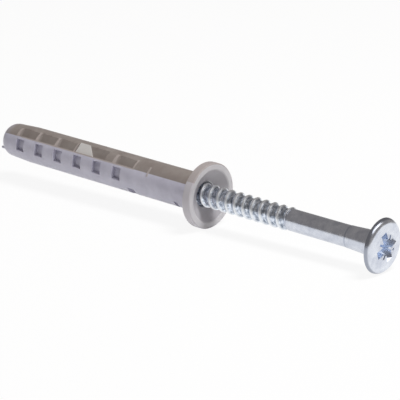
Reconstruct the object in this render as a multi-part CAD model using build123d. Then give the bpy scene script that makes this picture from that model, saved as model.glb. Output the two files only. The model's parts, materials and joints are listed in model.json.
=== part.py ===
from build123d import *
from math import asin, atan2, cos, degrees, hypot, radians, sin, sqrt, tan
import os

# A hammer fixing: a nylon plug sleeve with a wide dished collar, and the steel nail screw
# that is driven into it, standing part way out. All lengths are millimetres and all angles
# degrees. Each piece is drawn on its own axis: +Z runs from the sleeve's tip to the nail's
# head, and zero is the front face of the collar. Both pieces are then laid down together,
# as they rest on a table, with the origin on the table under the middle of the part.

# Sleeve body and nose
SLEEVE_DIAMETER = 8.0
SLEEVE_LENGTH = 60.0
NOSE_TAPER_LENGTH = 5.5
NOSE_TAPER = 0.3
NOSE_ROUND_LENGTH = 2.2
NOSE_FACE_DIAMETER = 4.6
GATE_NUB_RADIUS = 0.28
GATE_NUB_REACH = 2.75
GATE_NUB_HEIGHT = 0.55
GATE_NUB_ANGLE = 75.0
TIP_HOLE_LENGTH = 1.0

# Collar. The ring is the flat face that is left round the dish.
COLLAR_RING_WIDTH = 1.25
COLLAR_THICKNESS = 2.0
COLLAR_FRONT_EDGE = 0.3
COLLAR_BACK_EDGE = 0.25
COLLAR_ROOT_FILLET = 0.35

# Nail screw. Its lengths are measured back from the rim of the head.
CORE_DIAMETER = 4.0
THREAD_DIAMETER = 5.0
THREAD_PITCH = 2.25
THREAD_LEAD_FLANK = 1.2
THREAD_LAND = 0.15
THREAD_BACK_FLANK = 0.4
THREAD_RUN_OUT = 0.5
THREAD_SINK = 0.1
SHANK_DIAMETER = 4.5
PLAIN_LENGTH = 22.4
NECK_LENGTH = 7.4
NECK_RING_DIAMETER = 4.62
NECK_RING_WIDTH = 0.35
NECK_DIAMETER = 5.2
POINT_LENGTH = 5.5
POINT_TIP_DIAMETER = 1.4

# Nail head
HEAD_DIAMETER = 11.2
HEAD_CONE_HALF_ANGLE = 60.0
DOME_RADIUS = 22.6
SHOULDER_RADIUS = 1.2
SHOULDER_START_ANGLE = 5.0
RECESS_SPAN = 6.4
RECESS_BOTTOM_SPAN = 2.3
RECESS_ARM = 1.6
RECESS_DEPTH = 2.9
RECESS_CORE_DIAMETER = 3.7
RECESS_FLOOR_CONE = 0.3
TICK_SPAN = 5.0
TICK_WIDTH = 0.45
TICK_DEPTH = 0.7
RECESS_ROLL = 22.5

# How the two pieces stand to each other: how far the head's rim is out of the collar as
# photographed, and how far the point comes out of the tip when the nail is driven home
HEAD_STAND_OFF = 43.3
TIP_REACH = 2.63

# Fits between the two pieces
GRIP_CLEARANCE = 0.15
ENTRY_CLEARANCE = 0.3
SEAT_CLEARANCE = 0.05
DISH_CLEARANCE = 0.15
TIP_CLEARANCE = 0.2
ENTRY_MARGIN = 1.0
ENTRY_STEP = 1.5

# How far each cutter runs past the surface that it opens
OVERCUT = 1.0

# Expansion zone. Angles run about the axis from the mould's parting line, and the rows of
# cells are placed from the sleeve's tip. The flats are as deep as stated at the parting line.
CELL_PITCH = 5.9
CELL_COUNT = 6
CELL_TIP_DISTANCE = 5.3
FRONT_CELL_OFFSET = 0.35
FRONT_CELL_LENGTH = 2.4
FRONT_CELL_ANGLES = (8.3, 48.0)
POCKET_WEB = 0.45
RIB_LAND = 0.15
STEP_LENGTH = 0.75
FLAT_DEPTH = 0.75
FLAT_END_DEPTH = 0.6
FLAT_LEDGE = 0.17
TONGUE_CELL = 3
TONGUE_CELL_LENGTH = 9.25
TONGUE_GAP = 0.15
TONGUE_BASE_LENGTH = 5.0
TONGUE_TOP_LENGTH = 2.9
TONGUE_TOP_OFFSET = 0.2
TONGUE_ANGLES = (-38.0, -4.0)
TONGUE_LOW_STEP = 0.45
TONGUE_PROUD = 0.22

# Small moulded marks on the plain part of the sleeve, placed from the collar's front face
RIB_PLACE = 15.0
RIB_WIDTH = 0.6
RIB_HEIGHT = 0.12
RIB_ANGLES = (-21.5, 10.5)
POLE_ANGLE = 90.0
POLE_SLOT_PLACES = (19.8, 7.0)
POLE_SLOT_LENGTHS = (1.9, 1.0)
POLE_SLOT_DEPTHS = (0.6, 0.45)
POLE_SLOT_SPAN = 46.0

# How the sleeve is turned about its axis as it lies
PARTING_ROLL = 234.5

# Sizes that follow from the ones above
sleeve_radius = SLEEVE_DIAMETER / 2
thread_radius = THREAD_DIAMETER / 2
core_radius = CORE_DIAMETER / 2
shank_radius = SHANK_DIAMETER / 2
neck_radius = NECK_DIAMETER / 2
head_radius = HEAD_DIAMETER / 2
grip_radius = thread_radius + GRIP_CLEARANCE
entry_radius = thread_radius + ENTRY_CLEARANCE
dish_radius = head_radius + DISH_CLEARANCE
collar_radius = dish_radius + COLLAR_RING_WIDTH
cone_slope = tan(radians(HEAD_CONE_HALF_ANGLE))
dish_depth = (dish_radius - entry_radius) / cone_slope
pocket_floor = grip_radius + POCKET_WEB
shoulder_centre = (
    head_radius - SHOULDER_RADIUS * cos(radians(SHOULDER_START_ANGLE)),
    HEAD_STAND_OFF - SHOULDER_RADIUS * sin(radians(SHOULDER_START_ANGLE)),
)
dome_centre_height = shoulder_centre[1] - sqrt((DOME_RADIUS - SHOULDER_RADIUS) ** 2 - shoulder_centre[0] ** 2)
dome_edge_angle = asin(shoulder_centre[0] / (DOME_RADIUS - SHOULDER_RADIUS))
head_top = dome_centre_height + DOME_RADIUS
# The head's cone meets the dish when its rim stands this far into the collar.
seated_rim = -DISH_CLEARANCE / cone_slope + SEAT_CLEARANCE / sin(radians(HEAD_CONE_HALF_ANGLE))
travel = HEAD_STAND_OFF - seated_rim
home_tip = -SLEEVE_LENGTH - TIP_REACH
nail_tip = home_tip + travel
thread_end = HEAD_STAND_OFF - PLAIN_LENGTH
neck_start = HEAD_STAND_OFF - NECK_LENGTH
thread_turns = round((thread_end - nail_tip - POINT_LENGTH) / THREAD_PITCH)
# The tip hole clears the nail's point all along, when the nail is driven home.
point_slope = (core_radius - POINT_TIP_DIAMETER / 2) / POINT_LENGTH
tip_hole_radius = POINT_TIP_DIAMETER / 2 + point_slope * (TIP_REACH + TIP_HOLE_LENGTH) + TIP_CLEARANCE
cell_start = -SLEEVE_LENGTH + CELL_TIP_DISTANCE
flat_length = CELL_PITCH - RIB_LAND
cells_end = cell_start + CELL_COUNT * CELL_PITCH
tongue_cell_start = cell_start + TONGUE_CELL * CELL_PITCH
tongue_start = tongue_cell_start + TONGUE_GAP


def turned(points):
    """A solid of revolution about Z from straight (radius, height) points."""
    return revolve(make_face(Plane.XZ * Polyline(*points, close=True)), Axis.Z)


def sector(points, start, end):
    """A (radius, height) section swept about Z from one angle to another."""
    section = make_face(Plane.XZ * Polyline(*points, close=True))
    swept = revolve(section, Axis.Z, revolution_arc=end - start)
    return Rot(0, 0, start) * swept


def sleeve_blank():
    """The outer form: rounded nose, body and flat collar with eased edges."""
    tip = -SLEEVE_LENGTH
    round_end = tip + NOSE_ROUND_LENGTH
    taper_end = round_end + NOSE_TAPER_LENGTH
    taper_start = (sleeve_radius, taper_end)
    round_start = (sleeve_radius - NOSE_TAPER, round_end)
    nose_tangent = (-NOSE_TAPER, -NOSE_TAPER_LENGTH)
    outline = Polyline(
        (NOSE_FACE_DIAMETER / 2, tip),
        (0, tip),
        (0, 0),
        (collar_radius, 0),
        (collar_radius, -COLLAR_THICKNESS),
        (sleeve_radius, -COLLAR_THICKNESS),
        taper_start,
        round_start,
    )
    nose = TangentArc(round_start, (NOSE_FACE_DIAMETER / 2, tip), tangent=nose_tangent)
    section = make_face([outline, nose])
    corners = section.vertices()
    front = [v for v in corners if abs(v.X - collar_radius) < 1e-6 and abs(v.Y) < 1e-6]
    section = fillet(front, COLLAR_FRONT_EDGE)
    corners = section.vertices()
    back = [v for v in corners if abs(v.X - collar_radius) < 1e-6 and abs(v.Y + COLLAR_THICKNESS) < 1e-6]
    section = fillet(back, COLLAR_BACK_EDGE)
    corners = section.vertices()
    root = [v for v in corners if abs(v.X - sleeve_radius) < 1e-6 and abs(v.Y + COLLAR_THICKNESS) < 1e-6]
    section = fillet(root, COLLAR_ROOT_FILLET)
    return revolve(Plane.XZ * section, Axis.Z)


def sleeve_bore():
    """The dish, the wide entry, the grip length and the coned tip hole, as one cutter."""
    cone_top = home_tip + POINT_LENGTH
    return turned([
        (0, OVERCUT),
        (dish_radius + OVERCUT * cone_slope, OVERCUT),
        (entry_radius, -dish_depth),
        (entry_radius, cells_end + ENTRY_MARGIN + ENTRY_STEP),
        (grip_radius, cells_end + ENTRY_MARGIN),
        (grip_radius, cone_top),
        (tip_hole_radius, -SLEEVE_LENGTH + TIP_HOLE_LENGTH),
        (tip_hole_radius, -SLEEVE_LENGTH - OVERCUT),
        (0, -SLEEVE_LENGTH - OVERCUT),
    ])


def front_cells():
    """Plain pockets just below the parting line, their floors a web above the bore."""
    outside = sleeve_radius + OVERCUT
    cells = []
    for index in range(CELL_COUNT):
        low = cell_start + FRONT_CELL_OFFSET + index * CELL_PITCH
        high = low + FRONT_CELL_LENGTH
        section = [(pocket_floor, low), (outside, low), (outside, high), (pocket_floor, high)]
        cells.append(sector(section, *FRONT_CELL_ANGLES))
    return cells


def drawn_cut(outline):
    """A cut that the mould's upper half draws straight away from just above the parting line."""
    section = make_face(Plane.XZ * Polyline(*outline, close=True))
    return Pos(0, -FLAT_LEDGE, 0) * extrude(section, SLEEVE_DIAMETER, dir=(0, -1, 0))


def flat_cells():
    """Flats above the parting line: a short slope down from a narrow rib, then a slow rise."""
    outside = sleeve_radius + OVERCUT
    cells = []
    for index in range(CELL_COUNT):
        if index in (TONGUE_CELL, TONGUE_CELL + 1):
            continue
        low = cell_start + index * CELL_PITCH
        cells.append(drawn_cut([
            (outside, low - OVERCUT * STEP_LENGTH / FLAT_DEPTH),
            (sleeve_radius - FLAT_DEPTH, low + STEP_LENGTH),
            (sleeve_radius - FLAT_END_DEPTH, low + flat_length),
            (outside, low + flat_length),
        ]))
    return cells


def tongue_cell():
    """The long deep cell that the anti-turn tongue stands in."""
    low = tongue_cell_start
    high = low + TONGUE_CELL_LENGTH
    outside = sleeve_radius + OVERCUT
    return drawn_cut([(pocket_floor, low), (outside, low), (outside, high), (pocket_floor, high)])


def on_circle(radius, angle):
    """The point at a radius and an angle from the parting line."""
    return (radius * cos(radians(angle)), radius * sin(radians(angle)))


def tongue():
    """A tongue that leans out of its cell: sunk at the parting line, proud at its far edge."""
    far, near = TONGUE_ANGLES
    root = pocket_floor - POCKET_WEB / 2
    low_edge = on_circle(pocket_floor + TONGUE_LOW_STEP, near)
    proud_edge = on_circle(sleeve_radius + TONGUE_PROUD, far)
    section = Polyline((root, low_edge[1]), low_edge, proud_edge, (root, proud_edge[1]), close=True)
    body = Pos(0, 0, tongue_start) * extrude(make_face(section), TONGUE_BASE_LENGTH)
    near_side = on_circle(sleeve_radius, near)[1]
    far_side = on_circle(sleeve_radius + TONGUE_PROUD, far)[1]
    top_start = tongue_start + TONGUE_TOP_OFFSET
    plan = Plane.YZ * Polyline(
        (near_side, tongue_start),
        (near_side, tongue_start + TONGUE_BASE_LENGTH),
        (far_side, top_start + TONGUE_TOP_LENGTH),
        (far_side, top_start),
        close=True,
    )
    trim = extrude(make_face(plan), sleeve_radius + OVERCUT, dir=(1, 0, 0))
    return body & trim


def cross_rib():
    """A low raised rib that crosses the parting line on the plain part."""
    low = -RIB_PLACE - RIB_WIDTH / 2
    high = low + RIB_WIDTH
    middle = (sleeve_radius + entry_radius) / 2
    crest = (sleeve_radius + RIB_HEIGHT, (low + high) / 2)
    side = [(middle, low), (sleeve_radius, low), crest, (sleeve_radius, high), (middle, high)]
    return sector(side, *RIB_ANGLES)


def pole_slots():
    """Two short slots across the lower pole of the mould half."""
    slots = []
    for place, length, depth in zip(POLE_SLOT_PLACES, POLE_SLOT_LENGTHS, POLE_SLOT_DEPTHS):
        low = -place - length / 2
        high = low + length
        floor = sleeve_radius - depth
        outside = sleeve_radius + OVERCUT
        section = [(floor, low), (outside, low), (outside, high), (floor, high)]
        start = POLE_ANGLE - POLE_SLOT_SPAN / 2
        slots.append(sector(section, start, start + POLE_SLOT_SPAN))
    return slots


def gate_nub():
    """What is left of the moulding gate, on the round of the nose."""
    place = on_circle(GATE_NUB_REACH, GATE_NUB_ANGLE)
    length = GATE_NUB_HEIGHT + NOSE_ROUND_LENGTH / 2
    nub = Cylinder(GATE_NUB_RADIUS, length, align=(Align.CENTER, Align.CENTER, Align.MIN))
    return Pos(*place, -SLEEVE_LENGTH - GATE_NUB_HEIGHT) * nub


def make_sleeve():
    """The moulded sleeve. Both mould halves carry the same rows, half a turn apart."""
    body = sleeve_blank() - sleeve_bore()
    rows = front_cells() + flat_cells() + [tongue_cell()]
    body = body - rows - [Rot(0, 0, 180) * row for row in rows]
    body = body - pole_slots()
    body = body + tongue() + Rot(0, 0, 180) * tongue()
    body = body + cross_rib() + gate_nub()
    return body


def on_dome(angle):
    """The (radius, height) point of the head's dome whose normal leans out by an angle."""
    return (DOME_RADIUS * sin(angle), dome_centre_height + DOME_RADIUS * cos(angle))


def nail_blank():
    """The headed wire: point, core, shank, flared neck and domed countersunk head."""
    cone_bottom = HEAD_STAND_OFF - (head_radius - neck_radius) / cone_slope
    ring_radius = NECK_RING_DIAMETER / 2
    dome_edge = on_dome(dome_edge_angle)
    side = Polyline(
        (0, head_top),
        (0, nail_tip),
        (POINT_TIP_DIAMETER / 2, nail_tip),
        (core_radius, nail_tip + POINT_LENGTH),
        (core_radius, thread_end),
        (shank_radius, thread_end + THREAD_RUN_OUT),
        (shank_radius, neck_start),
        (ring_radius, neck_start),
        (ring_radius, neck_start + NECK_RING_WIDTH),
        (neck_radius, cone_bottom),
        (head_radius, HEAD_STAND_OFF),
    )
    dome = ThreePointArc((0, head_top), on_dome(dome_edge_angle / 2), dome_edge)
    shoulder = TangentArc(
        dome_edge,
        (head_radius, HEAD_STAND_OFF),
        tangent=(cos(dome_edge_angle), -sin(dome_edge_angle)),
    )
    return revolve(Plane.XZ * make_face([side, dome, shoulder]), Axis.Z)


def thread_turn():
    """One turn of the barbed thread: a long flank on the tip side, a steep one behind."""
    root = core_radius - THREAD_SINK
    crest = THREAD_LEAD_FLANK
    back = crest + THREAD_LAND
    section = Polyline(
        (root, 0),
        (thread_radius, crest),
        (thread_radius, back),
        (root, back + THREAD_BACK_FLANK),
        close=True,
    )
    path = Helix(THREAD_PITCH, THREAD_PITCH, core_radius)
    return sweep(make_face(Plane.XZ * section), path=path, is_frenet=True)


def thread_envelope(start, end):
    """The body that the thread's first and last turns fade out into."""
    sunk = core_radius - THREAD_SINK
    reach = thread_radius + THREAD_SINK
    fade = THREAD_PITCH
    return turned([
        (0, start - fade),
        (sunk, start),
        (reach, start + fade),
        (reach, end),
        (sunk, end + THREAD_RUN_OUT),
        (0, end + fade),
    ])


def driver_recess():
    """The cross recess: two tapered slots, a round core and four small diagonal ticks."""
    top = head_top + OVERCUT
    floor = head_top - RECESS_DEPTH
    half_top = RECESS_SPAN / 2
    half_floor = RECESS_BOTTOM_SPAN / 2
    slot_side = Plane.XZ * Polyline(
        (-half_top, top), (-half_top, head_top), (-half_floor, floor),
        (half_floor, floor), (half_top, head_top), (half_top, top), close=True,
    )
    slot = extrude(make_face(slot_side), RECESS_ARM / 2, both=True)
    core = turned([
        (0, top),
        (RECESS_CORE_DIAMETER / 2, top),
        (RECESS_BOTTOM_SPAN / 2, floor),
        (0, floor - RECESS_FLOOR_CONE),
    ])
    half_tick = TICK_SPAN / 2
    tick_side = Plane.XZ * Polyline(
        (-half_tick, top), (-half_tick, head_top - TICK_DEPTH / 2), (0, head_top - 2 * TICK_DEPTH),
        (half_tick, head_top - TICK_DEPTH / 2), (half_tick, top), close=True,
    )
    tick = extrude(make_face(tick_side), TICK_WIDTH / 2, both=True)
    cutter = slot + Rot(0, 0, 90) * slot + core + Rot(0, 0, 45) * tick + Rot(0, 0, 135) * tick
    return Rot(0, 0, RECESS_ROLL) * cutter


def make_nail():
    """The nail screw: headed blank, rolled barbed thread and driver recess."""
    nail = nail_blank()
    first = thread_end - thread_turns * THREAD_PITCH
    envelope = thread_envelope(first, thread_end)
    for index in range(thread_turns):
        turn = Pos(0, 0, first + index * THREAD_PITCH) * thread_turn()
        if index in (0, thread_turns - 1):
            turn = turn & envelope
        nail = nail + turn
    return nail - driver_recess()


def lying_tilt():
    """How far the axis dips towards the head when collar and head rims both touch down."""
    along = HEAD_STAND_OFF + COLLAR_FRONT_EDGE
    across = collar_radius - COLLAR_FRONT_EDGE - head_radius
    return degrees(atan2(across, along) + asin(COLLAR_FRONT_EDGE / hypot(along, across)))


def axis_height(tilt):
    """Height of the axis above the table, at the collar's front face."""
    turn = radians(tilt)
    return (collar_radius - COLLAR_FRONT_EDGE) * cos(turn) - COLLAR_FRONT_EDGE * sin(turn) + COLLAR_FRONT_EDGE


def lay_down(piece, shift):
    """Turn a piece from its own axis to the way it lies, and move it along the table."""
    tilt = lying_tilt()
    return Pos(shift, 0, axis_height(tilt)) * Rot(0, 90 + tilt, 0) * piece


def centre_shift(sleeve, nail):
    """The move along X that puts the middle of the whole part over the origin."""
    low = lay_down(sleeve, 0).bounding_box().min.X
    high = lay_down(nail, 0).bounding_box().max.X
    return -(low + high) / 2


os.makedirs("parts", exist_ok=True)
sleeve_piece = Rot(0, 0, PARTING_ROLL) * make_sleeve()
nail_piece = make_nail()
middle_shift = centre_shift(sleeve_piece, nail_piece)
export_step(lay_down(sleeve_piece, middle_shift), "parts/sleeve.step")
export_step(lay_down(nail_piece, middle_shift), "parts/nail_screw.step")
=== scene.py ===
import json
from math import asin, cos, radians, sin

import bpy
import numpy as np
from mathutils import Matrix, Vector

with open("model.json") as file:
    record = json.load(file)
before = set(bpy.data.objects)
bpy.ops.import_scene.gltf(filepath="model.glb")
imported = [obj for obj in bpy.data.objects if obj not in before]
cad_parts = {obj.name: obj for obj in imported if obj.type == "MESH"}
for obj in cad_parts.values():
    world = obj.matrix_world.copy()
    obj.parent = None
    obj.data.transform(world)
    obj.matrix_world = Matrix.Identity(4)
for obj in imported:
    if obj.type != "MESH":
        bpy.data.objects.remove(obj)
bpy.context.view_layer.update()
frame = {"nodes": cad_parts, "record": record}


# The sleeve
# The real piece is an injection-moulded plug of grey polyamide 6. Its two mould halves meet
# along a line on each side, where the tone changes sharply. The upper half is painted darker,
# as painted shade, and the lower half lighter, as painted light. Ribs, ledges and the tongue
# carry painted highlights, and the pockets and the dish painted shade.

# Sizes in metres. Places along the part are measured from the collar's front face.
mounts = {mount["name"]: mount for mount in frame["record"]["mounts"]}
pin_middle = Vector(mounts["sleeve_pin"]["pos_m"])
head_centre = Vector(mounts["driver_recess"]["pos_m"])
axis = (head_centre - pin_middle).normalized()
AXIS_DIP = asin(-axis.z)
PIN_MIDDLE_BEHIND_COLLAR = 0.027325
COLLAR_THICKNESS = 0.002
COLLAR_FACE_RADIUS = 0.00675
DISH_RADIUS = 0.0056
BORE_RADIUS = 0.00285
SLEEVE_RADIUS = 0.004
SLEEVE_TIP = -0.060
NOSE_FACE = SLEEVE_TIP + 0.0005
NOSE_END = SLEEVE_TIP + 0.003
PARTING_ELEVATION = radians(35.5)
CELLS_START = -0.0547
CELLS_END = -0.0193
CELL_PITCH = 0.0059
FLAT_FLOOR = 0.0032
POCKET_FLOOR = 0.0031
POCKET_SIDE = -0.0003
CROSS_RIB_PLACE = -0.015
CROSS_RIB_HALF = 0.0005
CROSS_RIB_HEIGHT = 0.00004
TONGUE_START = -0.0369
TONGUE_END = -0.0316
TONGUE_END_SLANT = 0.82
TONGUE_MIDDLE = 0.00145
TONGUE_HALF = 0.0012
TONGUE_FOOT = 0.00316

# How far a shade reaches about the edge that it belongs to, or fades beside it.
EDGE_BLEND = 0.0001
PARTING_BLEND = 0.00004
SKIN_HALF = 0.00005
LEDGE_MIDDLE = 0.00002
LEDGE_HALF = 0.00016
WEB_HALF = 0.00012
RIB_PALE_FROM = 0.0003
RIB_PALE_LENGTH = 0.0008
RIB_FADE = 0.03 * CELL_PITCH
BEHIND_COLLAR = 1.1 * COLLAR_THICKNESS

# The first shade of a pair is the duller one, and clouds mix the two.
# Upper half: painted shade, darker and warmer. Lower half: painted light, lighter and bluer.
LOWER_HALF_PAINTED_LIGHT = ("#BAB9C9", "#CECDDC")
UPPER_HALF_PAINTED_SHADE = ("#857B76", "#978F8A")
CORE_SHADES = ("#CBC9CD", "#D5D3D6")
# The dish is painted darker as painted shade, and the bore lighter as painted light.
DISH_PAINTED_SHADE = "#B5B2B7"
BORE_PAINTED_LIGHT = "#F2F1F4"
# The rim's upper tone is painted shade and its lower tone painted light.
LOWER_RIM_PAINTED_LIGHT = "#C7C4CA"
UPPER_RIM_PAINTED_SHADE = "#AFA7A6"
# Painted highlight for the ribs, the ledges and the cross rib.
EDGE_HIGHLIGHT_SHADE = "#B3A9A5"
# Painted shade for the floors of the pockets.
POCKET_SHADE_TINT = "#EDEDEF"
# Painted light for the tongue.
TONGUE_LIGHT_SHADE = "#D5D3D1"
EDGE_HIGHLIGHT_SHARE = 0.75
NOSE_SHARE = 0.35

# The clouds are flow marks and the streaks break up the tongue's painted light. The real moulded
# grain, about 0.05 mm, is finer than a pixel, so it is drawn at 0.45 mm. A range is the part of
# a noise's values that the pattern takes, and a narrow one gives it hard edges.
CLOUD_SIZE = 0.0038
CLOUD_RANGE = (0.3, 0.7)
STREAK_SIZE = 0.0011
STREAK_RANGE = (0.35, 0.65)
STREAK_SHARES = (0.93, 1.0)
GRAIN_SIZE = 0.00045
GRAIN_RANGE = (0.3, 0.7)
GRAIN_ROUGHNESS = (0.34, 0.44)

# A Mix node has sockets A, B and Result for each kind of value, so they go by number. These
# are the ones for colours.
SHARE = 0
UNDER = 6
OVER = 7
MIXED = 2


def linear(code):
    """A linear RGBA colour from an sRGB hex code."""
    parts = [int(code[i:i + 2], 16) / 255 for i in (1, 3, 5)]
    return [c / 12.92 if c <= 0.04045 else ((c + 0.055) / 1.055) ** 2.4 for c in parts] + [1.0]


def add(tree, kind, inputs, **settings):
    """Adds one node and gives its outputs. inputs are socket values, or sockets to link."""
    made = tree.nodes.new("ShaderNode" + kind)
    for key, value in settings.items():
        setattr(made, key, value)
    for key, value in inputs.items():
        if isinstance(value, bpy.types.NodeSocket):
            tree.links.new(value, made.inputs[key])
        else:
            made.inputs[key].default_value = value
    return made.outputs


def finish_material(name, look):
    """An empty node material with its output linked to the shader socket that look returns."""
    made = bpy.data.materials.new(name)
    made.use_nodes = True
    made.node_tree.nodes.clear()
    shader = look(made.node_tree)
    add(made.node_tree, "OutputMaterial", {"Surface": shader})
    return made


def about_axis(tree):
    """Object coordinates turned so that X runs along the part from the collar's front face,
    that X by itself, and the distance from the part's axis."""
    upright = add(tree, "TexCoord", {})["Object"]
    collar = pin_middle + axis * PIN_MIDDLE_BEHIND_COLLAR
    turn = Matrix.Rotation(-AXIS_DIP, 3, "Y")
    turned = {"Vector": upright, "Rotation": (0, -AXIS_DIP, 0), "Location": -(turn @ collar)}
    place = add(tree, "Mapping", turned)["Vector"]
    along = add(tree, "SeparateXYZ", {"Vector": place})["X"]
    across = add(tree, "VectorMath", {0: place, 1: (0, 1, 1)}, operation="MULTIPLY")["Vector"]
    radius = add(tree, "VectorMath", {0: across}, operation="LENGTH")["Value"]
    return place, along, radius


def polyamide_shade(tree, place, along, radius, above):
    """The plain tones: two mould halves, the upper painted darker as painted shade and the lower
    lighter as painted light, a paler nose and the finer core side of the collar.
    """
    cloud = add(tree, "TexNoise", {
        "Vector": place, "Scale": 1 / CLOUD_SIZE, "Detail": 5, "Roughness": 0.62,
    })["Fac"]
    soft = add(tree, "MapRange", {
        "Value": cloud, "From Min": CLOUD_RANGE[0], "From Max": CLOUD_RANGE[1],
    })[0]
    clouded = []
    for dull, pale in (LOWER_HALF_PAINTED_LIGHT, UPPER_HALF_PAINTED_SHADE, CORE_SHADES):
        pair = {SHARE: soft, UNDER: linear(dull), OVER: linear(pale)}
        clouded.append(add(tree, "Mix", pair, data_type="RGBA")[MIXED])
    lower, upper, core_side = clouded

    # The mould's cavity shapes the outside. The upper half is painted darker and warmer, as painted
    # shade from the dim room above, and the lower half lighter and bluer, as painted light from the
    # white table below. They meet sharply at the parting line, where the halves' surfaces differ,
    # and the painted shade fades on the nose. The collar's rim is painted the same way.
    half = add(tree, "MapRange", {
        "Value": above, "From Min": -PARTING_BLEND, "From Max": PARTING_BLEND,
    })[0]
    past_nose = add(tree, "MapRange", {
        "Value": along, "From Min": NOSE_FACE, "From Max": NOSE_END, "To Min": NOSE_SHARE,
    })[0]
    on_upper = add(tree, "Math", {0: half, 1: past_nose}, operation="MULTIPLY")[0]
    sides = add(tree, "Mix", {SHARE: on_upper, UNDER: lower, OVER: upper}, data_type="RGBA")[MIXED]
    pair = {SHARE: on_upper, UNDER: linear(LOWER_RIM_PAINTED_LIGHT), OVER: linear(UPPER_RIM_PAINTED_SHADE)}
    rim = add(tree, "Mix", pair, data_type="RGBA")[MIXED]
    on_collar = add(tree, "Math", {0: along, 1: -BEHIND_COLLAR}, operation="GREATER_THAN")[0]
    sides = add(tree, "Mix", {SHARE: on_collar, UNDER: sides, OVER: rim}, data_type="RGBA")[MIXED]

    # The mould's core shapes the collar's front, the dish and the bore. The dish is painted darker,
    # as painted shade under the nail, and the bore lighter, as painted light in the hollow.
    dished = add(tree, "MapRange", {
        "Value": radius, "From Min": DISH_RADIUS - 2 * EDGE_BLEND, "From Max": DISH_RADIUS,
        "To Min": 1, "To Max": 0,
    })[0]
    bored = add(tree, "MapRange", {
        "Value": radius, "From Min": BORE_RADIUS, "From Max": BORE_RADIUS + EDGE_BLEND,
        "To Min": 1, "To Max": 0,
    })[0]
    for share, colour in ((dished, DISH_PAINTED_SHADE), (bored, BORE_PAINTED_LIGHT)):
        pair = {SHARE: share, UNDER: core_side, OVER: linear(colour)}
        core_side = add(tree, "Mix", pair, data_type="RGBA")[MIXED]

    ahead = add(tree, "MapRange", {
        "Value": along, "From Min": EDGE_BLEND - COLLAR_THICKNESS,
        "From Max": 2 * EDGE_BLEND - COLLAR_THICKNESS,
    })[0]
    on_face = add(tree, "Math", {0: radius, 1: COLLAR_FACE_RADIUS}, operation="LESS_THAN")[0]
    front = add(tree, "Math", {0: ahead, 1: on_face}, operation="MULTIPLY")[0]
    hollow = add(tree, "Math", {0: radius, 1: BORE_RADIUS}, operation="LESS_THAN")[0]
    past_face = add(tree, "Math", {0: along, 1: NOSE_FACE}, operation="GREATER_THAN")[0]
    inside = add(tree, "Math", {0: hollow, 1: past_face}, operation="MULTIPLY")[0]
    cored = add(tree, "Math", {0: front, 1: inside}, operation="MAXIMUM")[0]
    return add(tree, "Mix", {SHARE: cored, UNDER: sides, OVER: core_side}, data_type="RGBA")[MIXED]


def painted_edge_highlights(tree, along, radius, folded, depth, in_cells):
    """Painted highlights, where edges catch the light: the ribs, the ledges beside the parting
    line and the cross rib.
    """
    offset = (RIB_PALE_FROM - CELLS_START) / CELL_PITCH
    count = {0: along, 1: 1 / CELL_PITCH, 2: offset}
    cells = add(tree, "Math", count, operation="MULTIPLY_ADD")[0]
    phase = add(tree, "Math", {0: cells}, operation="FRACT")[0]
    rib = add(tree, "MapRange", {
        "Value": phase, "From Min": (RIB_PALE_LENGTH - RIB_FADE) / CELL_PITCH,
        "From Max": RIB_PALE_LENGTH / CELL_PITCH, "To Min": 1, "To Max": 0,
    })[0]
    on_flats = add(tree, "Math", {0: folded, 1: 0}, operation="GREATER_THAN")[0]
    off_floor = add(tree, "Math", {0: depth, 1: FLAT_FLOOR}, operation="GREATER_THAN")[0]
    for mask in (on_flats, off_floor):
        rib = add(tree, "Math", {0: rib, 1: mask}, operation="MULTIPLY")[0]
    near_ledge = {0: folded, 1: LEDGE_MIDDLE, 2: LEDGE_HALF}
    ledge = add(tree, "Math", near_ledge, operation="COMPARE")[0]
    near_skin = {0: radius, 1: SLEEVE_RADIUS, 2: SKIN_HALF}
    at_skin = add(tree, "Math", near_skin, operation="COMPARE")[0]
    ledge = add(tree, "Math", {0: ledge, 1: at_skin}, operation="MULTIPLY")[0]
    highlit = add(tree, "Math", {0: rib, 1: ledge}, operation="MAXIMUM")[0]
    highlit = add(tree, "Math", {0: highlit, 1: in_cells}, operation="MULTIPLY")[0]

    proud = add(tree, "MapRange", {
        "Value": radius, "From Min": SLEEVE_RADIUS, "From Max": SLEEVE_RADIUS + CROSS_RIB_HEIGHT,
    })[0]
    near_rib = {0: along, 1: CROSS_RIB_PLACE, 2: CROSS_RIB_HALF}
    at_rib = add(tree, "Math", near_rib, operation="COMPARE")[0]
    cross_rib = add(tree, "Math", {0: proud, 1: at_rib}, operation="MULTIPLY")[0]
    highlit = add(tree, "Math", {0: highlit, 1: cross_rib}, operation="MAXIMUM")[0]
    return add(tree, "Math", {0: highlit, 1: EDGE_HIGHLIGHT_SHARE}, operation="MULTIPLY")[0]


def pocket_floor_shade(tree, radius, folded, in_cells):
    """Painted shade on the thin webs over the bore, at the bottom of the lower row's pockets."""
    pocket_shade = add(tree, "Math", {0: radius, 1: POCKET_FLOOR, 2: WEB_HALF}, operation="COMPARE")[0]
    below = add(tree, "Math", {0: folded, 1: POCKET_SIDE}, operation="LESS_THAN")[0]
    for mask in (below, in_cells):
        pocket_shade = add(tree, "Math", {0: pocket_shade, 1: mask}, operation="MULTIPLY")[0]
    return pocket_shade


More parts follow.
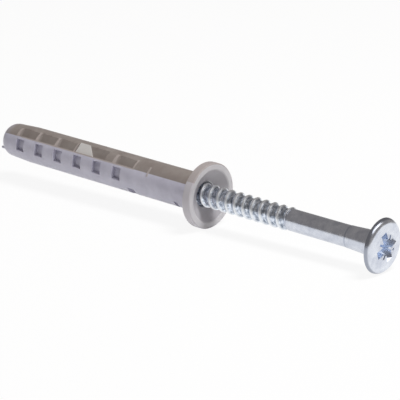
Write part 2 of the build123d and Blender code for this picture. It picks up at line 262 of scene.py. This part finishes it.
def painted_tongue_light(tree, place, along, folded, depth):
    """Painted light on the tongue, broken into fine streaks, up to its slanting free end."""
    lean = {0: folded, 1: TONGUE_END_SLANT, 2: along}
    slant = add(tree, "Math", lean, operation="MULTIPLY_ADD")[0]
    started = add(tree, "MapRange", {
        "Value": along, "From Min": TONGUE_START - EDGE_BLEND,
        "From Max": TONGUE_START + EDGE_BLEND,
    })[0]
    not_ended = add(tree, "MapRange", {
        "Value": slant, "From Min": TONGUE_END, "From Max": TONGUE_END + EDGE_BLEND,
        "To Min": 1, "To Max": 0,
    })[0]
    near_middle = {0: folded, 1: TONGUE_MIDDLE, 2: TONGUE_HALF}
    across = add(tree, "Math", near_middle, operation="COMPARE")[0]
    standing = add(tree, "Math", {0: depth, 1: TONGUE_FOOT}, operation="GREATER_THAN")[0]
    streaks = add(tree, "TexNoise", {
        "Vector": place, "Scale": 1 / STREAK_SIZE, "Detail": 4, "Roughness": 0.7,
    })["Fac"]
    streaked = add(tree, "MapRange", {
        "Value": streaks, "From Min": STREAK_RANGE[0], "From Max": STREAK_RANGE[1],
        "To Min": STREAK_SHARES[0], "To Max": STREAK_SHARES[1],
    })[0]
    tongue = started
    for mask in (not_ended, across, standing, streaked):
        tongue = add(tree, "Math", {0: tongue, 1: mask}, operation="MULTIPLY")[0]
    return tongue


def moulded_polyamide(tree):
    """Satin grey nylon with painted highlights on its ribs and ledges, painted shade in its pockets
    and painted light on its tongue.
    """
    place, along, radius = about_axis(tree)
    up = (0, sin(PARTING_ELEVATION), cos(PARTING_ELEVATION))
    outward = (0, -cos(PARTING_ELEVATION), sin(PARTING_ELEVATION))
    above = add(tree, "VectorMath", {0: place, 1: up}, operation="DOT_PRODUCT")["Value"]
    out = add(tree, "VectorMath", {0: place, 1: outward}, operation="DOT_PRODUCT")["Value"]
    shade = polyamide_shade(tree, place, along, radius, above)

    # The rows of cells repeat half a turn on, so one pair of distances serves both sides.
    side = add(tree, "Math", {0: out}, operation="SIGN")[0]
    folded = add(tree, "Math", {0: above, 1: side}, operation="MULTIPLY")[0]
    depth = add(tree, "Math", {0: out}, operation="ABSOLUTE")[0]
    middle = (CELLS_START + CELLS_END) / 2
    reach = CELLS_END - middle + RIB_PALE_FROM
    in_cells = add(tree, "Math", {0: along, 1: middle, 2: reach}, operation="COMPARE")[0]
    layers = (
        (painted_edge_highlights(tree, along, radius, folded, depth, in_cells), EDGE_HIGHLIGHT_SHADE, "MIX"),
        (pocket_floor_shade(tree, radius, folded, in_cells), POCKET_SHADE_TINT, "MULTIPLY"),
        (painted_tongue_light(tree, place, along, folded, depth), TONGUE_LIGHT_SHADE, "MIX"),
    )
    for share, colour, blend in layers:
        pair = {SHARE: share, UNDER: shade, OVER: linear(colour)}
        shade = add(tree, "Mix", pair, data_type="RGBA", blend_type=blend)[MIXED]

    grain = add(tree, "TexNoise", {"Vector": place, "Scale": 1 / GRAIN_SIZE, "Detail": 2})["Fac"]
    bump = add(tree, "Bump", {"Height": grain, "Strength": 0.25, "Distance": 2e-5})[0]
    gloss = add(tree, "MapRange", {
        "Value": grain, "From Min": GRAIN_RANGE[0], "From Max": GRAIN_RANGE[1],
        "To Min": GRAIN_ROUGHNESS[0], "To Max": GRAIN_ROUGHNESS[1],
    })[0]
    return add(tree, "BsdfPrincipled", {
        "Base Color": shade, "Roughness": gloss, "IOR": 1.53, "Specular IOR Level": 0.75,
        "Normal": bump, "Subsurface Weight": 0.12, "Subsurface Radius": (0.6, 0.55, 0.5),
        "Subsurface Scale": 0.0006,
    })[0]


nylon = finish_material("moulded_polyamide", moulded_polyamide)
sleeve = frame["nodes"]["sleeve"]
sleeve.data.materials.clear()
sleeve.data.materials.append(nylon)


# The nail screw
# The real piece is carbon steel wire, cold headed and thread rolled, then barrel plated with
# bright zinc and passivated, which leaves a bluish, faintly mottled mirror.

HEAD_TOP = (head_centre - pin_middle).length - PIN_MIDDLE_BEHIND_COLLAR
HEAD_RADIUS = 0.0056
HEAD_EDGE = 0.0004
DOME_DROP = 0.00022
RECESS_MOUTH = HEAD_TOP - DOME_DROP
RECESS_RADIUS = 0.0034
RECESS_DEPTH = 0.0029
RECESS_BACK = HEAD_TOP - 1.2 * RECESS_DEPTH
RECESS_LIGHT_DEPTH = 0.0008
NECK_START = 0.0359
NECK_RADIUS = 0.0027
NECK_RING_HALF = 0.000175
DENTS_GROW_OVER = 0.004
THREAD_END = 0.0211
THREAD_VALLEY = 0.0021
THREAD_CREST = 0.00245

# The first tint of a pair is the duller one. The recess is painted lighter and bluer, as painted
# light against its own shade.
SHANK_TINTS = ("#C2C7D3", "#DDE1EA")
# Valleys are painted darker as painted shade; crests white as a painted highlight.
VALLEY_SHADE_TINTS = ("#98A1AF", "#E4EBF6")
HEAD_TINTS = ("#CDD2DE", "#E9EDF5")
CREST_HIGHLIGHT_TINT = "#F8FBFF"
NECK_RING_TINT = "#B6BCC9"
# Painted shade for the head's rim, a painted reflection of the dim room.
HEAD_RIM_SHADE_TINT = "#A4A9B5"
# Painted light for the recess, bluer than the head.
RECESS_LIGHT_TINT = "#E4EDFC"

# The mottle is the plating's cloudiness, 2 mm and 0.7 mm across, and the thread's rolled
# valleys are shallowly dented. The real drawing lines, about 0.03 mm apart, are finer than a
# pixel, so they are drawn 0.4 mm apart.
MOTTLE_SIZE = 0.0019
MOTTLE_RANGE = (0.35, 0.65)
PATCH_SIZE = 0.0007
PATCH_RANGE = (0.4, 0.6)
LINE_GAP = 0.0004
LINE_STRETCH = 0.06
LINE_SHARE = 0.5
SHANK_DENTS = 0.015
HEAD_DENTS = 0.1
THREAD_DENTS = 0.6
DENT_DEPTH = 0.0001
PLATED_ROUGHNESS = (0.18, 0.28)
SCUFFED_ROUGHNESS = 0.4

# A Mix node's sockets for plain values.
VALUE_UNDER = 2
VALUE_OVER = 3


def bright_zinc(tree):
    """Plated zinc: rougher thread crests with a painted highlight and painted shade in the valleys,
    a bright pressed head with painted shade on its rim, and painted light in its bluer recess.
    """
    place, along, radius = about_axis(tree)
    mottle = add(tree, "TexNoise", {
        "Vector": place, "Scale": 1 / MOTTLE_SIZE, "Detail": 4, "Roughness": 0.6,
    })["Fac"]
    spread = add(tree, "MapRange", {
        "Value": mottle, "From Min": MOTTLE_RANGE[0], "From Max": MOTTLE_RANGE[1],
    })[0]
    patches = add(tree, "TexNoise", {"Vector": place, "Scale": 1 / PATCH_SIZE, "Detail": 3})["Fac"]
    uneven = add(tree, "MapRange", {
        "Value": patches, "From Min": PATCH_RANGE[0], "From Max": PATCH_RANGE[1],
    })[0]
    mottled = []
    pairs = ((spread, SHANK_TINTS), (uneven, VALLEY_SHADE_TINTS), (spread, HEAD_TINTS))
    for share, (dull, pale) in pairs:
        pair = {SHARE: share, UNDER: linear(dull), OVER: linear(pale)}
        mottled.append(add(tree, "Mix", pair, data_type="RGBA")[MIXED])
    tint, valley_shade, pressed = mottled

    # The crests are painted white as a painted highlight, over the valleys' painted shade.
    crest = add(tree, "MapRange", {
        "Value": radius, "From Min": THREAD_VALLEY, "From Max": THREAD_CREST,
    })[0]
    pair = {SHARE: crest, UNDER: valley_shade, OVER: linear(CREST_HIGHLIGHT_TINT)}
    painted_thread = add(tree, "Mix", pair, data_type="RGBA")[MIXED]
    threaded = add(tree, "Math", {0: along, 1: THREAD_END}, operation="LESS_THAN")[0]
    near_ring = {0: along, 1: NECK_START + NECK_RING_HALF, 2: NECK_RING_HALF}
    ring = add(tree, "Math", near_ring, operation="COMPARE")[0]
    on_head = add(tree, "Math", {0: radius, 1: NECK_RADIUS}, operation="GREATER_THAN")[0]
    # Painted shade on the head's rim.
    rim_shade = add(tree, "MapRange", {
        "Value": radius, "From Min": HEAD_RADIUS - HEAD_EDGE,
        "From Max": HEAD_RADIUS - HEAD_EDGE / 2,
    })[0]
    # Painted light in the recess.
    recess_light = add(tree, "MapRange", {
        "Value": radius, "From Min": RECESS_RADIUS, "From Max": RECESS_RADIUS + EDGE_BLEND,
        "To Min": 1, "To Max": 0,
    })[0]
    in_head = add(tree, "Math", {0: along, 1: RECESS_BACK}, operation="GREATER_THAN")[0]
    sunk = add(tree, "MapRange", {
        "Value": along, "From Min": RECESS_MOUTH - RECESS_LIGHT_DEPTH,
        "From Max": RECESS_MOUTH - EDGE_BLEND, "To Min": 1, "To Max": 0,
    })[0]
    for mask in (in_head, sunk):
        recess_light = add(tree, "Math", {0: recess_light, 1: mask}, operation="MULTIPLY")[0]
    layers = (
        (threaded, painted_thread),
        (ring, linear(NECK_RING_TINT)),
        (on_head, pressed),
        (rim_shade, linear(HEAD_RIM_SHADE_TINT)),
        (recess_light, linear(RECESS_LIGHT_TINT)),
    )
    for share, colour in layers:
        tint = add(tree, "Mix", {SHARE: share, UNDER: tint, OVER: colour}, data_type="RGBA")[MIXED]

    drawn = add(tree, "Mapping", {"Vector": place, "Scale": (LINE_STRETCH, 1, 1)})["Vector"]
    lines = add(tree, "TexNoise", {"Vector": drawn, "Scale": 1 / LINE_GAP, "Detail": 2})["Fac"]
    height = add(tree, "Mix", {SHARE: LINE_SHARE, VALUE_UNDER: mottle, VALUE_OVER: lines})[0]
    dents = add(tree, "MapRange", {
        "Value": along, "From Min": NECK_START, "From Max": NECK_START + DENTS_GROW_OVER,
        "To Min": SHANK_DENTS, "To Max": HEAD_DENTS,
    })[0]
    rolled_dents = add(tree, "Math", {0: threaded, 1: THREAD_DENTS}, operation="MULTIPLY")[0]
    dents = add(tree, "Math", {0: dents, 1: rolled_dents}, operation="MAXIMUM")[0]
    bump = add(tree, "Bump", {"Height": height, "Strength": dents, "Distance": DENT_DEPTH})[0]
    gloss = add(tree, "MapRange", {
        "Value": spread, "To Min": PLATED_ROUGHNESS[0], "To Max": PLATED_ROUGHNESS[1],
    })[0]
    scuffed = add(tree, "Math", {0: threaded, 1: crest}, operation="MULTIPLY")[0]
    worn = {SHARE: scuffed, VALUE_UNDER: gloss, VALUE_OVER: SCUFFED_ROUGHNESS}
    gloss = add(tree, "Mix", worn)[0]
    return add(tree, "BsdfPrincipled", {
        "Base Color": tint, "Metallic": 1.0, "Roughness": gloss, "Normal": bump,
    })[0]


zinc = finish_material("bright_zinc_plate", bright_zinc)
nail = frame["nodes"]["nail_screw"]
nail.data.materials.clear()
nail.data.materials.append(zinc)


# The table
# Matt white paper that the part lies on, far wider than the view. The camera and the metal see
# most of it as a steady white, and it keeps the part's soft shadow. It lights the part only as
# lit paper does.

TABLE_HALF = 6.0
STEADY_WHITE = 0.9
PAPER_WHITE = "#F8F8F8"
table_mesh = bpy.data.meshes.new("table")
corners = np.array([[-1, -1, 0], [1, -1, 0], [1, 1, 0], [-1, 1, 0]]) * TABLE_HALF
table_mesh.from_pydata(corners.tolist(), [], [[0, 1, 2, 3]])
table = bpy.data.objects.new("table", table_mesh)
bpy.context.scene.collection.objects.link(table)


def white_sweep(tree):
    """Matt white, with a steady white part for what looks straight at it or mirrors it."""
    rays = add(tree, "LightPath", {})
    seen = rays["Is Camera Ray"]
    for ray in (rays["Is Glossy Ray"], rays["Is Transmission Ray"]):
        seen = add(tree, "Math", {0: seen, 1: ray}, operation="MAXIMUM")[0]
    share = add(tree, "Math", {0: seen, 1: STEADY_WHITE}, operation="MULTIPLY")[0]
    matt = add(tree, "BsdfDiffuse", {"Color": linear(PAPER_WHITE)})[0]
    white = add(tree, "Emission", {"Color": (1, 1, 1, 1), "Strength": 1.0})[0]
    return add(tree, "MixShader", {0: share, 1: matt, 2: white})[0]


table_mesh.materials.append(finish_material("white_sweep", white_sweep))


# The light
# A soft key lamp stands nearly overhead, towards the nail's head, in a dim warm room, and no
# surface mirrors it. A strip lamp beside it is only mirrored, and gives the metal its glints.

LAMP_DISTANCE = 0.6
ROOM_GREY = "#8E8A88"


def area_lamp(name, way, length, width, watts):
    """A flat lamp LAMP_DISTANCE from the origin in the direction way, facing back to it."""
    data = bpy.data.lights.new(name, "AREA")
    data.shape = "RECTANGLE"
    data.size = length
    data.size_y = width
    data.energy = watts
    lamp = bpy.data.objects.new(name, data)
    lamp.location = Vector(way).normalized() * LAMP_DISTANCE
    lamp.rotation_euler = (-Vector(way)).to_track_quat("-Z", "Y").to_euler()
    bpy.context.scene.collection.objects.link(lamp)
    return lamp


key_lamp = area_lamp("key_lamp", way=(0.35, 0.12, 0.93), length=0.20, width=0.20, watts=2.8)
key_lamp.visible_glossy = False
glint_lamp = area_lamp("glint_lamp", way=(0.62, 0.05, 0.77), length=0.50, width=0.24, watts=0.9)
glint_lamp.visible_diffuse = False

room = bpy.data.worlds.new("room")
bpy.context.scene.world = room
room.use_nodes = True
room.node_tree.nodes.clear()
dim = add(room.node_tree, "Background", {"Color": linear(ROOM_GREY), "Strength": 1.0})[0]
add(room.node_tree, "OutputWorld", {"Surface": dim})


# The camera
# It looks down on the part from the front and the head's side, as in the photograph.

VIEW_AZIMUTH = radians(41.311)
VIEW_ELEVATION = radians(16.765)
CAMERA_PLACE = (0.256984, -0.28702439, 0.12066602)
CLIP_START = 0.01
FOCAL_PIXELS = 1920
IMAGE_PIXELS = 400
SENSOR_MM = 36.0

view_data = bpy.data.cameras.new("view")
view_data.sensor_width = SENSOR_MM
view_data.sensor_height = SENSOR_MM
view_data.sensor_fit = "AUTO"
view_data.lens = FOCAL_PIXELS / IMAGE_PIXELS * SENSOR_MM
view_data.clip_start = CLIP_START
view = bpy.data.objects.new("view", view_data)
view.location = CAMERA_PLACE
view.rotation_euler = (radians(90) - VIEW_ELEVATION, 0, VIEW_AZIMUTH)
bpy.context.scene.collection.objects.link(view)
bpy.context.scene.camera = view

bpy.context.scene.view_settings.view_transform = "Standard"
